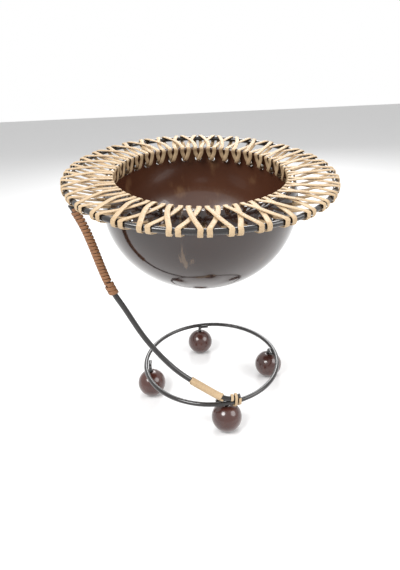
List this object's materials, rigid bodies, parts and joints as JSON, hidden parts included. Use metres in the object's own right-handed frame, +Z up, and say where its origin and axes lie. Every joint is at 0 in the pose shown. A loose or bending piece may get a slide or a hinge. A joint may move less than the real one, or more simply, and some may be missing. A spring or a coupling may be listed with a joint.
{
  "type": "footed coconut bowl",
  "caption": "Dark polished coconut half shell laced with rattan strip into a black wire ring, on one bent leg and a small ring with wooden ball feet.",
  "frame": {"origin": "on the floor under the middle of the big ring", "axes": "+Z up, -Y toward the side where the leg meets the small ring, +X right"},
  "size_m": [0.1812, 0.18, 0.1945],
  "materials": {
    "shell": "polished",
    "wire": "gloss",
    "pale_rattan": "natural",
    "brown_rattan": "natural",
    "ball_wood": "polished"
  },
  "bodies": {
    "root": {"coconut_shell": "shell", "rim_ring": "wire", "base_ring": "wire", "leg_rod": "wire", "lacing_over_1": "pale_rattan", "lacing_over_2": "pale_rattan", "lacing_under_1": "pale_rattan", "lacing_under_2": "pale_rattan", "upper_leg_binding": "brown_rattan", "upper_binding_knot": "brown_rattan", "lower_leg_binding": "pale_rattan", "junction_binding": "pale_rattan", "foot_ball_front": "ball_wood", "foot_pin_front": "wire", "foot_ball_right": "ball_wood", "foot_pin_right": "wire", "foot_ball_back": "ball_wood", "foot_pin_back": "wire", "foot_ball_left": "ball_wood", "foot_pin_left": "wire"}
  },
  "joints": []
}
